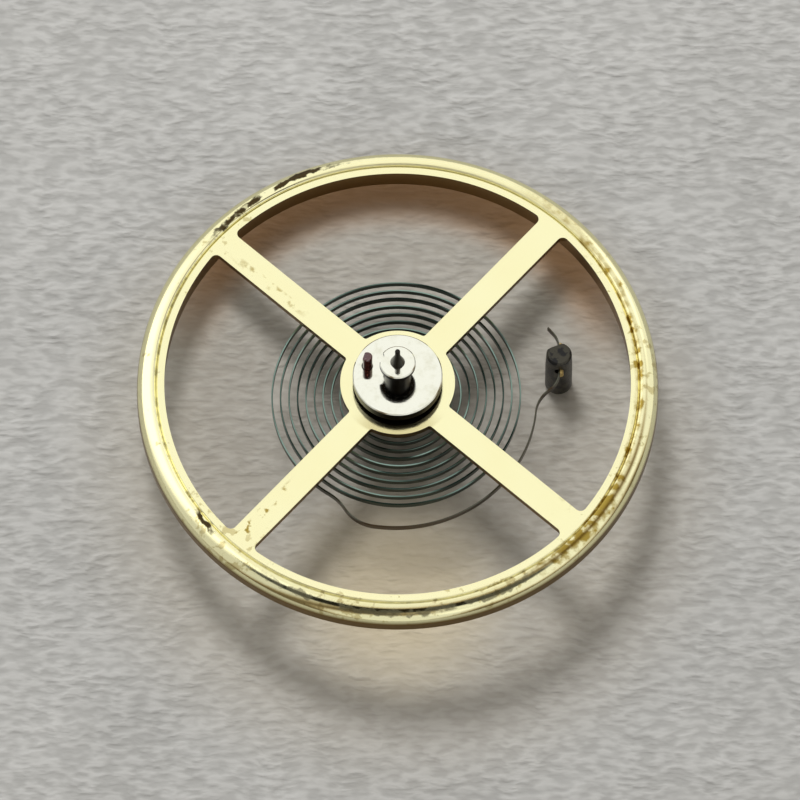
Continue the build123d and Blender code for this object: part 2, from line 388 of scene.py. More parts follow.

# %% [markdown]
# ## Gilt
# The wheel is brass under a thin coat of gold, so it reflects yellow and has hardly a colour of
# its own. Wear keeps it from looking like plastic: black dirt in the groove and beside it, brown
# tarnish along two arms and on the right of the rim, and stretches of the groove rubbed dull.
# That could be painted on a picture. Here it comes from each point's radius and azimuth, which
# needs no unwrapping and stays sharp when the camera comes close. Shade is painted the same way:
# the walls get a dark brown colour, and the near edge of the hub a brown one.

# %% Places on the wheel
wheel_r = wheel_high.x
arm_deg = 48.2
groove_slope = 0.04
groove_depth = 0.04
bead_inner_r = 0.06
bead_outer_r = 0.30
crown_r = wheel_r - bead_outer_r
foot_deg = 180 - math.degrees(math.asin(1 - (bead_rise + groove_depth) / bead_inner_r))
groove_r = crown_r + bead_inner_r * math.cos(math.radians(foot_deg))
stain_half_width = 0.12


class GiltPoint:
    """A point of the gilt: where it lies on the wheel, and the noises that meet there."""

    def __init__(self, gilt):
        self.gilt = gilt
        place = gilt.place()
        self.x, self.y, self.radius = gilt.around(place)
        self.wave = gilt.noise(place, 0.45)
        self.cloud = gilt.noise(place, 1.1)
        self.spots = gilt.noise(place, 0.17, detail=2.5)
        self.grain = gilt.noise(place, 0.05, detail=3.0)
        self.wall = 1.0 - gilt.rise(gilt.upright(), 0.1, 0.45)
        self.clean_side = self.towards(75, 28, 48)
        self.right_side = self.towards(5, 40, 62)
        uneven = (self.y * self.y - self.x * self.x) / (self.radius * self.radius)
        self.line_r = groove_r + 0.1 + uneven * 0.1 + (self.wave - 0.5) * 0.14

    def along(self, azimuth_deg):
        """How far out a point lies in the direction of an azimuth, in millimetres."""
        turned_to = math.radians(azimuth_deg)
        return self.x * math.cos(turned_to) + self.y * math.sin(turned_to)

    def towards(self, azimuth_deg, full_deg, gone_deg):
        """1 on the wheel's side at an azimuth, and 0 beyond an angle from it."""
        limits = [math.cos(math.radians(angle)) for angle in (gone_deg, full_deg)]
        return self.gilt.rise(self.along(azimuth_deg) / self.radius, *limits)

    def near(self, value, middle, half_width):
        """1 at a value, and 0 from half a width away from it."""
        return 1.0 - self.gilt.rise(abs(value - middle), half_width * 0.4, half_width)

    def stain(self, azimuth_deg, beside, first, last):
        """A row of stains along an arm, beside its middle line, between two radii."""
        row = self.near(self.along(azimuth_deg + 90), beside, stain_half_width)
        return row * self.near(self.along(azimuth_deg), (first + last) / 2, (last - first) / 2)


print("the groove's foot is", round(groove_r, 3), "mm from the middle")

# %% Dirt, tarnish and rubbing
rim_stain_r = 4.78
hub_shade_r = 1.05


def gilt_dirt(at):
    """Dirt in the groove, and in a ragged line beside it at the upper left and the bottom."""
    spread = at.gilt.rise(at.spots, 0.3, 0.7) * 0.4
    in_groove = at.near(at.radius, groove_r, 0.05) * spread
    in_groove = in_groove * (1.0 - at.clean_side) * (1.0 - at.right_side * 0.6)
    ragged_r = at.radius + (at.spots - 0.5) * 0.16
    broken = at.gilt.rise(at.wave + at.spots * 0.3, 0.46, 0.68)
    line = at.near(ragged_r, at.line_r, 0.075) * broken
    most = at.towards(121, 11, 24) + at.towards(-88, 20, 42) * 0.6 + at.towards(219, 2, 4)
    return at.gilt.rise(in_groove + line * (most + 0.16), 0.1, 1.1)


def gilt_tarnish_and_shade(at):
    """Brown along two arms, at their ends, right of the rim; painted shade at the hub's near edge.
    """
    rise = at.gilt.rise
    rows = at.stain(arm_deg + 180, -0.09, 2.7, 4.9) + at.stain(arm_deg + 90, 0.1, 2.0, 4.4) * 0.6
    rows = rows * rise(at.spots * 0.5 + at.wave * 0.5, 0.47, 0.58)
    ends = rise(at.radius, 3.4, 4.6) * rise(at.spots * 0.6 + at.cloud * 0.4, 0.54, 0.62) * 0.5
    ends = ends * (1.0 - at.clean_side)
    right = at.near(at.radius, at.line_r, 0.12) * (rise(at.spots, 0.35, 0.65) * 0.35 + 0.3)
    right = right * at.right_side
    low_right = at.near(at.radius, rim_stain_r, 0.2) * rise(at.spots, 0.36, 0.6) * 0.7
    low_right = low_right * at.towards(-42, 6, 20)
    # Painted shade: a brown strip along the near edge of the hub.
    hub_near_shade = at.towards(-90, 20, 60) * at.near(at.radius, hub_shade_r, 0.15) * 0.45
    return rise(rows + ends + right + low_right + hub_near_shade, 0.0, 1.0)


def gilt_rubbing(at):
    """The stretches of the groove's outer slope that are rubbed dull, far and near."""
    return (at.clean_side + at.towards(-90, 30, 60)) * at.near(at.radius, groove_r + 0.03, 0.1)


print("brown spots stand thickest", rim_stain_r, "mm from the middle")

# %% Gilt finish
def worn_gilt():
    gilt = new_finish("worn_gilt")
    at = GiltPoint(gilt)
    dirt = gilt_dirt(at)
    tarnish_and_shade = gilt_tarnish_and_shade(at)
    colour = gilt.mix(at.cloud, rgb(254, 250, 202), rgb(251, 244, 190))
    colour = gilt.mix(tarnish_and_shade, colour, rgb(170, 146, 66))
    colour = gilt.mix(dirt, colour, rgb(58, 44, 10))
    # Painted shade: the walls get a dark brown colour, as they look where they mirror shaded paper.
    colour = gilt.mix(at.wall, colour, rgb(116, 90, 40))
    rough = at.wave * 0.05 + tarnish_and_shade * 0.1 + dirt * 0.06 + at.wall * 0.2
    rough = rough + gilt_rubbing(at) * 0.35 + 0.08
    relief = at.wave + at.spots * 0.6 + at.grain * 0.3
    return gilt.surface({"Base Color": colour, "Metallic": 1.0 - dirt * 0.3, "Roughness": rough,
                         "Normal": gilt.bump(relief, 0.0015)})


gilt_finish = worn_gilt()
print("the gilt takes", len(gilt_finish.node_tree.nodes), "nodes")

# %% [markdown]
# ## The wheel
# The real wheel is turned as a thick disc with a thin web, and four windows are then punched
# through the web. It could be drawn flat and thickened, but the rim has a section of its own. So
# it is made in the real order: one turned section, then four cutters. An outline of arcs gives
# each window its small corners at the hub and larger ones at the rim.

# %% Windows of the wheel
rim_inner_r = 4.47
hub_r = 1.10
arm_count = 4
arm_width = 0.54
hub_corner_r = 0.06
rim_corner_r = 0.12
rim_step_deg = 1.0
hub_step_deg = 2.0
cut_overrun = 0.5


def corner(corner_r, reach):
    """The middle of a rounded corner beside an arm, and its azimuth."""
    slope = 180 / arm_count
    off = arm_width / 2 + corner_r
    across = ahead(slope - 90)
    middle = ahead(slope) * math.sqrt(reach**2 - off**2) + across * off
    return middle, math.degrees(math.atan2(middle.y, middle.x))


def half_window():
    """The upper half of a window that lies along X, from the middle of the rim to the hub."""
    beside_arm = 180 / arm_count + 90
    rim_corner, rim_deg = corner(rim_corner_r, rim_inner_r - rim_corner_r)
    hub_corner, hub_deg = corner(hub_corner_r, hub_r + hub_corner_r)
    return [
        *arc((0, 0), rim_inner_r, 0, rim_deg, rim_step_deg)[:-1],
        *arc(rim_corner, rim_corner_r, rim_deg, beside_arm),
        *arc(hub_corner, hub_corner_r, beside_arm, hub_deg + 180),
        *arc((0, 0), hub_r, hub_deg, 0, hub_step_deg)[1:],
    ]


upper = half_window()
window_outline = upper + [(x, -y) for x, y in upper[-2:0:-1]]
print("a window's outline has", len(window_outline), "points")

# %% Wheel
lip = 0.02
rim_chamfer = 0.05
wheel_hole_r = 0.38
foot_step_deg = 10.0
bead_step_deg = 5.0
wheel_steps = 360
wheel_edge = 0.008


def wheel_section():
    """Half of the wheel's section: web, band, groove, bead, wall and the rim's underside."""
    crown = wheel_high.z
    bead = arc((crown_r, crown - bead_inner_r), bead_inner_r, foot_deg, 90, foot_step_deg)
    bead += arc((crown_r, crown - bead_outer_r), bead_outer_r, 90, 0, bead_step_deg)[1:]
    inner_wall = rim_inner_r + lip
    return [
        (wheel_hole_r, plate_top),
        (groove_r - groove_slope, plate_top),
        *bead,
        (wheel_r, wheel_low.z + rim_chamfer),
        (wheel_r - rim_chamfer, wheel_low.z),
        (inner_wall, wheel_low.z),
        (inner_wall, plate_bottom),
        (wheel_hole_r, plate_bottom),
    ]


windows = [moved(prism(window_outline, plate_bottom - cut_overrun, plate_top + cut_overrun),
                 turn(arm_deg + (k + 0.5) * 360 / arm_count)) for k in range(arm_count)]
wheel = shaped("wheel", turned(wheel_section(), wheel_steps), windows, edge=wheel_edge)
fit(wheel, "balance_wheel", "balance", gilt_finish)

# %% [markdown]
# ## Steel
# The rollers' upper faces are black polished: so flat that they are white where they mirror the
# window. Their edges and undersides look dark, and so does the staff, whose steep sides mirror
# the dark side of the room. That shade is painted: what doesn't look up on a roller is given a
# nearly black colour, and so is the whole staff. How squarely a face looks up tells where it goes.

# %% Steel finishes
def roller_steel():
    steel = new_finish("black_polished_steel")
    place = steel.place()
    cloud = steel.noise(place, 0.25)
    hair = steel.noise(place, 0.03, detail=4.0, stretch=(6.0, 1.0, 1.0))
    face = steel.rise(steel.facing_up(), 0.3, 0.8)
    polished = steel.mix(steel.rise(cloud, 0.45, 0.75), rgb(246, 246, 230), rgb(232, 231, 210))
    # Painted shade: faces that don't look up get a nearly black colour.
    colour = steel.mix(face, rgb(18, 11, 5), polished)
    return steel.surface({"Base Color": colour, "Metallic": 1.0,
                          "Roughness": cloud * 0.08 + 0.3 - face * 0.25,
                          "Normal": steel.bump(hair, 0.0004)})


def staff_steel():
    steel = new_finish("burnished_steel")
    place = steel.place()
    cloud = steel.noise(place, 0.2)
    hair = steel.noise(place, 0.03, detail=4.0, stretch=(1.0, 1.0, 6.0))
    # Painted shade: the whole staff gets a nearly black colour, as it looks where it mirrors the
    # dark room.
    colour = steel.mix(cloud, rgb(40, 38, 30), rgb(22, 20, 14))
    return steel.surface({"Base Color": colour, "Metallic": 0.7, "Roughness": cloud * 0.2 + 0.3,
                          "Normal": steel.bump(hair, 0.0006)})


roller_finish = roller_steel()
staff_finish = staff_steel()
print("steels:", roller_finish.name, "and", staff_finish.name)

# %% [markdown]
# ## The staff
# The staff is the axle: one piece of steel with a pivot at each end, and between them a seat for
# the collet, a rivet under the wheel, a hub and a tapered seat for the rollers. It could be
# stacked from cylinders. One section turned whole, as on the lathe, has no faces hidden inside.

# %% Staff
pivot_r = 0.05
pivot_length = 0.20
pivot_tip_r = 0.02
roller_seat_r = 0.15
roller_cone_r = 0.14
wheel_seat_r = 0.38
rivet_r = 0.46
rivet_height = 0.06
flange_r = 0.44
collet_seat_r = 0.30
collet_seat_end = 0.06
cock_arbor_r = 0.20
pivot_flare_r = 0.10
seat_chamfer = 0.03
rivet_bottom = plate_bottom - rivet_height
tip_step_deg = 22.5
flare_step_deg = 15.0
round_steps = 96
steel_edge = 0.004


def staff_section():
    """Half of the staff's section, from the lower pivot's tip to the upper one's."""
    seat_foot = collet_low.z - collet_seat_end
    top = staff_high.z
    tip_middle = pivot_r - pivot_tip_r
    lower_tip = arc((tip_middle, pivot_tip_r), pivot_tip_r, -90, 0, tip_step_deg)
    upper_tip = arc((tip_middle, top - pivot_tip_r), pivot_tip_r, 0, 90, tip_step_deg)
    flare = arc((pivot_r + pivot_flare_r, pivot_length), pivot_flare_r, 180, 90, flare_step_deg)
    return [
        (0, 0),
        *lower_tip,
        *flare,
        (cock_arbor_r, seat_foot),
        (collet_seat_r - seat_chamfer, seat_foot),
        (collet_seat_r, seat_foot + seat_chamfer),
        (collet_seat_r, rivet_bottom),
        (rivet_r - rivet_height / 2, rivet_bottom),
        (rivet_r, plate_bottom),
        (wheel_seat_r, plate_bottom),
        (wheel_seat_r, plate_top),
        (flange_r, plate_top),
        (flange_r, roller_low.z),
        (roller_seat_r, roller_low.z),
        (roller_cone_r, safety_high.z),
        (pivot_r, top - pivot_length),
        *upper_tip,
        (0, top),
    ]


staff = shaped("staff", turned(staff_section(), round_steps), edge=steel_edge)
fit(staff, "balance_staff", "balance", staff_finish)

# %% [markdown]
# ## The double roller
# The large disc carries the ruby pin that works the pallet fork. The small flange above it has a
# hollow, the crescent, in which the fork's guard passes. Extruded outlines would give the hole
# and the hollow, but no chamfer and no neck. So both are turned first and then cut once.

# %% Rollers
roller_r = roller_high.x
roller_chamfer = 0.02
safety_neck_r = 0.25
safety_flange_r = 0.345
safety_flange_height = 0.12
crescent_r = 0.14
crescent_depth = 0.07
jewel_deg = 162.0
jewel_place_r = 0.61
jewel_r = 0.10
jewel_play = 0.01
small_steps = 48
crescent_steps = 64
spool_steps = 128
at_jewel = turn(jewel_deg), shift(jewel_place_r, 0, 0)


def large_roller():
    foot, top = roller_low.z, roller_high.z
    disc = turned([
        (roller_seat_r, foot),
        (roller_r, foot),
        (roller_r, top - roller_chamfer),
        (roller_r - roller_chamfer, top),
        (roller_seat_r, top),
    ])
    hole = drill(jewel_r + jewel_play, foot - cut_overrun, top + cut_overrun, small_steps)
    return shaped("large_roller", disc, [moved(hole, *at_jewel)], edge=steel_edge)


def small_roller():
    neck_top = safety_high.z - safety_flange_height
    spool = turned([
        (roller_seat_r, safety_low.z),
        (safety_neck_r, safety_low.z),
        (safety_neck_r, neck_top),
        (safety_flange_r, neck_top),
        (safety_flange_r, safety_high.z - roller_chamfer),
        (safety_flange_r - roller_chamfer, safety_high.z),
        (roller_cone_r, safety_high.z),
    ], spool_steps)
    reach = safety_flange_r + crescent_r - crescent_depth
    hollow = drill(crescent_r, neck_top, safety_high.z + cut_overrun, crescent_steps)
    hollow = moved(hollow, turn(jewel_deg), shift(reach, 0, 0))
    return shaped("small_roller", spool, [hollow], edge=steel_edge)


fit(large_roller(), "impulse_roller", "balance", roller_finish)
fit(small_roller(), "safety_roller", "balance", roller_finish)

# %% [markdown]
# ## Ruby and shellac
# The impulse jewel is a pin of synthetic ruby, flat on one side, and shellac holds it from below.
# It could be true glass. But in a picture of this size it is a dark red speck with its mirror
# image below it in the roller, so a glossy dark red with a little transmission is enough.

# %% Jewel
def ruby():
    stone = new_finish("ruby")
    cloud = stone.noise(stone.place(), 0.08)
    colour = stone.mix(cloud, rgb(86, 40, 34), rgb(48, 16, 14))
    return stone.surface({"Base Color": colour, "Roughness": 0.06, "IOR": 1.77,
                          "Transmission Weight": 0.1})


def amber_shellac():
    resin = new_finish("amber_shellac")
    cloud = resin.noise(resin.place(), 0.05)
    colour = resin.mix(cloud, rgb(150, 88, 30), rgb(92, 46, 14))
    return resin.surface({"Base Color": colour, "Roughness": 0.2, "Coat Weight": 0.5})


jewel_flat = 0.03
jewel_tip = 0.015
pin_edge = 0.006
shellac_r = 0.14


def impulse_pin():
    pin = turned([
        (0, jewel_low.z),
        (jewel_r, jewel_low.z),
        (jewel_r, jewel_high.z - jewel_tip),
        (jewel_r - jewel_tip, jewel_high.z),
        (0, jewel_high.z),
    ], small_steps)
    near_x, far = jewel_r - jewel_flat, jewel_r * 2
    side = [(near_x, -far), (far, -far), (far, far), (near_x, far)]
    flat = prism(side, jewel_low.z - cut_overrun, jewel_high.z + cut_overrun)
    return shaped("ruby_pin", moved(pin, *at_jewel), [moved(flat, *at_jewel)], edge=pin_edge)


def shellac_bead():
    top = shellac_high.z
    height = top - shellac_low.z
    rounds = [math.radians(degrees) for degrees in range(0, 90, 10)]
    crown = [(shellac_r * math.cos(t), top - height * math.sin(t)) for t in rounds]
    bead = turned([(0, top), *crown, (0, shellac_low.z)], small_steps)
    return shaped("shellac_bead", moved(bead, *at_jewel))


fit(impulse_pin(), "impulse_jewel", "balance", ruby())
fit(shellac_bead(), "jewel_shellac", "balance", amber_shellac())

# %% [markdown]
# ## The hairspring
# A hairspring is a ribbon on edge. Its line is made of half circles about two centres, each a
# little larger than the one before, which is a spiral without a single free-form point. The
# dogleg and the outer curve are a few more arcs. A Blender curve with a bevel could follow the
# line. Laying the ribbon's section along it by code also tells how far along each point lies,
# which the winding needs later.

# %% Sizes of the spring
spring_thickness = 0.03
coil_pitch = 0.163
coil_count = 10
coil_clearance = 0.176
coil_start_deg = -70.0
last_sweep_deg = 126.9
collet_lead = 0.40
collet_tail = 0.20
dogleg_out_r, dogleg_out_deg = 0.917, 26.2
dogleg_back_r, dogleg_back_deg = 0.783, 50.3
terminal_rise, terminal_deg = 0.351, 93.5
terminal_brown_r = 2.6
stud_out_r, stud_out_deg = 0.651, 48.2
stud_in_r, stud_in_deg = 0.46, 54.3
stud_lead = 0.02
tail_bend_r, tail_bend_deg = 0.45, 40.0
tail_length = 0.15
collet_wall = 0.25
stud_r = 0.26
collet_r = collet_seat_r + collet_wall
wall_middle_r = (collet_seat_r + collet_r) / 2
coil_inner_r = collet_r + coil_clearance
coil_outer_r = coil_inner_r + coil_pitch * coil_count
print("the coils go from", round(coil_inner_r, 3), "to", round(coil_outer_r, 3), "mm")

# %% Line of the spring
Stretch = namedtuple("Stretch", "start heading length turn")


def point_on(stretch, share):
    """A point along a stretch of the spring's middle line."""
    if not stretch.turn:
        return stretch.start + ahead(stretch.heading) * stretch.length * share
    radius = stretch.length / math.radians(stretch.turn)
    centre = stretch.start + ahead(stretch.heading + 90) * radius
    return centre - ahead(stretch.heading + 90 + stretch.turn * share) * radius


def follow(start, heading, steps):
    """Stretches that are straight for (length, 0) and an arc for (radius, turn)."""
    stretches = []
    for size, bend in steps:
        length = size * math.radians(abs(bend)) if bend else size
        stretches.append(Stretch(start, heading, length, bend))
        start = point_on(stretches[-1], 1)
        heading += bend
    return stretches


def spring_line():
    """Collet, first bend, coils, dogleg, outer curve, stud and the free tail."""
    reach = coil_inner_r**2 - wall_middle_r**2 - collet_lead**2
    bend_r = reach / (2 * (coil_inner_r - wall_middle_r))
    meets_deg = math.degrees(math.atan2(wall_middle_r - bend_r, -collet_lead))
    collet_deg = coil_start_deg - meets_deg
    spin = turn(collet_deg)
    start = (spin @ Vector((collet_tail, wall_middle_r, 0))).to_2d()
    steps = [(collet_tail + collet_lead, 0), (bend_r, meets_deg - 90)]
    steps += [(coil_inner_r + coil_pitch * k / 2, 180) for k in range(2 * coil_count + 1)]
    steps += [
        (coil_outer_r + coil_pitch / 2, last_sweep_deg),
        (dogleg_out_r, -dogleg_out_deg),
        (dogleg_back_r, dogleg_back_deg),
        (coil_outer_r + terminal_rise, terminal_deg),
        (stud_out_r, -stud_out_deg),
        (stud_in_r, stud_in_deg),
        (stud_lead + 2 * stud_r, 0),
        (tail_bend_r, tail_bend_deg),
        (tail_length, 0),
    ]
    return follow(start, collet_deg + 180, steps), collet_deg


spring_path, collet_deg = spring_line()
spring_length = sum(stretch.length for stretch in spring_path)
stud_run = spring_path[-3]
stud_place = stud_run.start + ahead(stud_run.heading) * (stud_lead + stud_r)
print("spring", round(spring_length, 1), "mm long, stud at", [round(c, 3) for c in stud_place])

# %% Ribbon
ribbon_step_deg = 3.0
ribbon_step = 0.1
ribbon_ease = 0.005
half_wide = spring_thickness / 2
half_tall = (spring_high.z - spring_low.z) / 2
ribbon_section = [
    (half_wide, ribbon_ease - half_tall),
    (half_wide, half_tall - ribbon_ease),
    (half_wide - ribbon_ease, half_tall),
    (ribbon_ease - half_wide, half_tall),
    (-half_wide, half_tall - ribbon_ease),
    (-half_wide, ribbon_ease - half_tall),
    (ribbon_ease - half_wide, -half_tall),
    (half_wide - ribbon_ease, -half_tall),
]
Sample = namedtuple("Sample", "place heading along")


def ribbon_samples():
    """Points along the spring, each with its heading and the length so far."""
    samples = []
    along = 0.0
    for stretch in spring_path:
        count = math.ceil(max(abs(stretch.turn) / ribbon_step_deg, stretch.length / ribbon_step))
        for k in range(count):
            share = k / count
            samples.append(Sample(point_on(stretch, share), stretch.heading + stretch.turn * share,
                                  along + stretch.length * share))
        along += stretch.length
    last = spring_path[-1]
    samples.append(Sample(point_on(last, 1), last.heading + last.turn, along))
    return samples


def ribbon():
    """The ribbon's mesh in millimetres: its section, with eased corners, along the line."""
    mesh = bmesh.new()
    rings = []
    for sample in ribbon_samples():
        left = ahead(sample.heading + 90)
        rings.append([mesh.verts.new((*(sample.place + left * side), spring_z + up))
                      for side, up in ribbon_section])
    for ring, after in zip(rings, rings[1:]):
        for k in range(len(ring)):
            following = (k + 1) % len(ring)
            mesh.faces.new((ring[k], ring[following], after[following], after[k]))
    mesh.faces.new(rings[0])
    mesh.faces.new(rings[-1])
    bmesh.ops.recalc_face_normals(mesh, faces=mesh.faces)
    return mesh


spring = shaped("spring_ribbon", ribbon())
print("the ribbon has", len(spring.data.vertices), "points")

# %% [markdown]
# ## Spring steel
# The ribbon is grey steel with a cast of green and blue, and brown on the outer curve. Its upper
# edge is so narrow that each coil shows as one thin line, light or dark as it catches the light.
# That highlight and shade is painted: a noise that runs along a coil and changes from one coil
# to the next makes the edge pale or dark, and the ribbon's sides are painted dark as shade. An
# ordinary noise would break the coils into dashes.

# %% Spring finish
def spring_steel():
    steel = new_finish("grey_spring_steel")
    place = steel.place()
    x, y, radius = steel.around(place)
    round_coils = steel.node("ShaderNodeCombineXYZ", {},
                             {"X": x / radius, "Y": y / radius, "Z": radius / coil_pitch})
    by_coil = steel.noise(round_coils, 0.8, detail=1.0)
    cloud = steel.noise(place, 0.6)
    fine = steel.noise(place, 0.04, detail=3.0)
    outer_curve = steel.rise(radius, coil_outer_r + coil_pitch / 2, terminal_brown_r)
    # Painted highlight and shade: the upper edge turns pale or dark along each coil.
    edge = steel.mix(steel.rise(by_coil, 0.35, 0.65), rgb(142, 168, 156), rgb(28, 44, 38))
    # Painted shade: the ribbon's sides are nearly black.
    side = steel.mix(cloud, rgb(42, 60, 50), rgb(20, 28, 22))
    colour = steel.mix(steel.rise(steel.upright(), 0.3, 0.8), side, edge)
    colour = steel.mix(outer_curve * 0.8, colour, rgb(74, 58, 42))
    return steel.surface({"Base Color": colour, "Metallic": 1.0, "Roughness": cloud * 0.1 + 0.25,
                          "Normal": steel.bump(fine, 0.0006)})


fit(spring, "hairspring", None, spring_steel())

# %% [markdown]
# ## Winding
# When the balance swings, the spring's inner end turns with the collet and its outer end stays
# in the stud. So each point takes a share of the swing. The share could fall with the distance
# from the hub, but then the outer curve would shear. A real spring bends evenly along its whole
# length, so the share follows the length of ribbon between the collet and the stud.

# %% Winding
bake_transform(spring)
in_collet = spring_path[0].length
in_stud = stud_run.length + spring_path[-2].length + spring_path[-1].length
free = spring_length - in_collet - in_stud
shares = []
for sample in ribbon_samples():
    share = 1.0 - min(max((sample.along - in_collet) / free, 0.0), 1.0)
    shares += [share] * len(ribbon_section)
print("the free part of the spring is", round(free, 1), "mm long")

# %% [markdown]
# ## Collet and stud
# The spring's inner end is wedged in the collet, a split brass ring, and its outer end in the
# stud, a dark steel post with a flat filed on its head. Both could be carved from a block. They
# are turned instead, as the real ones are, and a drill and a saw then make the hole and the cut.
# Each finish takes two noises, a wide one for the colour and a fine one for the relief.

# %% Brass and blackened steel
def satin_brass():
    brass = new_finish("satin_brass")
    place = brass.place()
    cloud = brass.noise(place, 0.3)
    hair = brass.noise(place, 0.02, detail=3.0)
    colour = brass.mix(cloud, rgb(214, 190, 128), rgb(176, 146, 84))
    return brass.surface({"Base Color": colour, "Metallic": 1.0, "Roughness": cloud * 0.15 + 0.3,
                          "Normal": brass.bump(hair, 0.0008)})


def blackened_steel():
    steel = new_finish("blackened_steel")
    place = steel.place()
    cloud = steel.noise(place, 0.12)
    fine = steel.noise(place, 0.03, detail=4.0)
    colour = steel.mix(steel.rise(cloud, 0.44, 0.56), rgb(50, 47, 36), rgb(4, 3, 2))
    return steel.surface({"Base Color": colour, "Roughness": fine * 0.2 + 0.3,
                          "Metallic": 0.3, "Normal": steel.bump(fine, 0.002)})


brass_finish = satin_brass()
black_finish = blackened_steel()
print("finishes:", brass_finish.name, "and", black_finish.name)

# %% Rods and blocks
def rod(radius, far_radius, length, steps=32):
    """A round rod along X, centred on the origin, from one radius to another."""
    half = length / 2
    return moved(turned([(0, -half), (radius, -half), (far_radius, half), (0, half)], steps),
                 turn(90, "Y"))


def block(low, high):
    """A plain cutter from one corner to the other."""
    corners = [(low[0], low[1]), (high[0], low[1]), (high[0], high[1]), (low[0], high[1])]
    return prism(corners, low[2], high[2])


print("cutters reach", cut_overrun, "mm past what they cut")

# %% Collet
collet_hole_r = 0.09
collet_slit = 0.07


def spring_collet():
    at = (shift(0, 0, spring_z), turn(collet_deg))
    half = (collet_high.z - collet_low.z) / 2
    ring = turned([
        (collet_seat_r, -half),
        (collet_r - seat_chamfer, -half),
        (collet_r, seat_chamfer - half),
        (collet_r, half - seat_chamfer),
        (collet_r - seat_chamfer, half),
        (collet_seat_r, half),
    ], round_steps)
    hole = moved(rod(collet_hole_r, collet_hole_r, 2 * collet_r), *at, shift(0, wall_middle_r, 0))
    slit = moved(block((-collet_slit / 2, -collet_r - cut_overrun, -half - cut_overrun),
                       (collet_slit / 2, 0, half + cut_overrun)), *at)
    return shaped("spring_collet", moved(ring, *at), [hole, slit], edge=pin_edge)


fit(spring_collet(), "collet", "balance", brass_finish)

# %% Stud
stud_chamfer = 0.04
stud_flat = 0.08
stud_flat_deg = 112.0
stud_head_length = 0.45
stud_head_taper = 0.015
stud_hole_r = 0.09
stud_edge = 0.012


def stud_post():
    at = (shift(*stud_place, spring_z), turn(stud_run.heading))
    top, foot = stud_high.z - spring_z, stud_low.z - spring_z
    head_r = stud_r - stud_head_taper
    post = turned([
        (0, foot),
        (stud_r - stud_chamfer, foot),
        (stud_r, foot + stud_chamfer),
        (stud_r, top - stud_head_length),
        (head_r, top - stud_chamfer),
        (head_r - stud_chamfer, top),
        (0, top),
    ], round_steps)
    flat = moved(block((stud_r - stud_flat, -stud_r - cut_overrun, top - stud_head_length),
                       (stud_r + cut_overrun, stud_r + cut_overrun, top + cut_overrun)),
                 *at, turn(stud_flat_deg - stud_run.heading))
    hole = moved(rod(stud_hole_r, stud_hole_r, 4 * stud_r), *at)
    return shaped("stud_post", moved(post, *at), [flat, hole], edge=stud_edge)


fit(stud_post(), "stud", "stud_end", black_finish)

# %% [markdown]
# ## Taper pins
# A thin brass pin, pushed in beside the ribbon, wedges each end of the spring in its hole. The
# pins could be left out, since one hides under the hub. But the ribbon would then hang loose in
# two holes. Each is a tapered rod, filed flat on the side that meets the ribbon.

# %% Taper pins
pin_play = 0.005
pin_taper = 0.01
collet_pin_overhang = 0.06
stud_pin_overhang = 0.07


def half_pin(name, hole_r, length, side, *at):
    """A taper pin along X, filed flat beside the ribbon, on one side of it."""
    thick = hole_r - pin_play
    pin = rod(thick, thick - pin_taper, length)
    flat = block((-length, -2 * hole_r, -2 * hole_r), (length, spring_thickness / 2, 2 * hole_r))
    if side < 0:
        flat = moved(flat, turn(180))
    return shaped(name, moved(pin, *at), [moved(flat, *at)], edge=pin_edge)


chord = 2 * math.sqrt(collet_r**2 - wall_middle_r**2)
inner_pin = half_pin("inner_pin", collet_hole_r, chord + 2 * collet_pin_overhang, 1,
                     shift(0, 0, spring_z), turn(collet_deg), shift(0, wall_middle_r, 0))
outer_pin = half_pin("outer_pin", stud_hole_r, 2 * (stud_r + stud_pin_overhang), -1,
                     shift(*stud_place, spring_z), turn(stud_run.heading))
fit(inner_pin, "collet_pin", "balance", brass_finish)
fit(outer_pin, "stud_pin", "stud_end", brass_finish)

# %% [markdown]
# ## Camera
# The photograph was taken from so far away, for so small a thing, that the wheel's near and far
# sides are equally large. An orthographic camera would show that too, but a very long lens is
# nearer to the real one. The camera looks at a point beside the hub, so that the hub comes out
# where it is in the photograph.

# %% Camera
frame_px = 800
scale_px = 52.2             # pixels to the millimetre at the wheel
hub_px = (397.6, 382.4)
elevation_deg = 64.5
lens_mm = 600.0
sensor_mm = 36.0
elevation = math.radians(elevation_deg)
back = Vector((0, -math.cos(elevation), math.sin(elevation)))
picture_up = Vector((0, math.sin(elevation), math.cos(elevation)))
half_px = frame_px / 2
aim = Vector((0, 0, plate_top))
aim -= Vector((1, 0, 0)) * (hub_px[0] - half_px) / scale_px
aim -= picture_up * (half_px - hub_px[1]) / scale_px
distance = frame_px / scale_px * lens_mm / sensor_mm
camera = bpy.data.objects.new("camera", bpy.data.cameras.new("camera"))
camera.data.lens = lens_mm
camera.data.sensor_width = sensor_mm
camera.data.clip_start = distance * mm / 100
camera.data.clip_end = distance * mm * 100
camera.location = (aim + back * distance) * mm
camera.rotation_mode = "QUATERNION"
camera.rotation_quaternion = back.to_track_quat("Z", "Y")
bpy.context.scene.collection.objects.link(camera)
bpy.context.scene.camera = camera
print("the camera stands", round(distance), "mm away")

# %% [markdown]
# ## Paper
# The balance lies on a sheet of pale paper, whose fibres show at this size. It doesn't stand
# level there. It leans on its rim, so the paper comes close to the wheel at the far side and
# falls away from it at the near one. The wheel keeps its upright place, and the paper slopes.
# The warm light that the gilt throws on the paper would need very many rays to come out clean,
# so it is laid in the paper's colour as painted light. A painted brown shade lies under the far
# side of the rim.

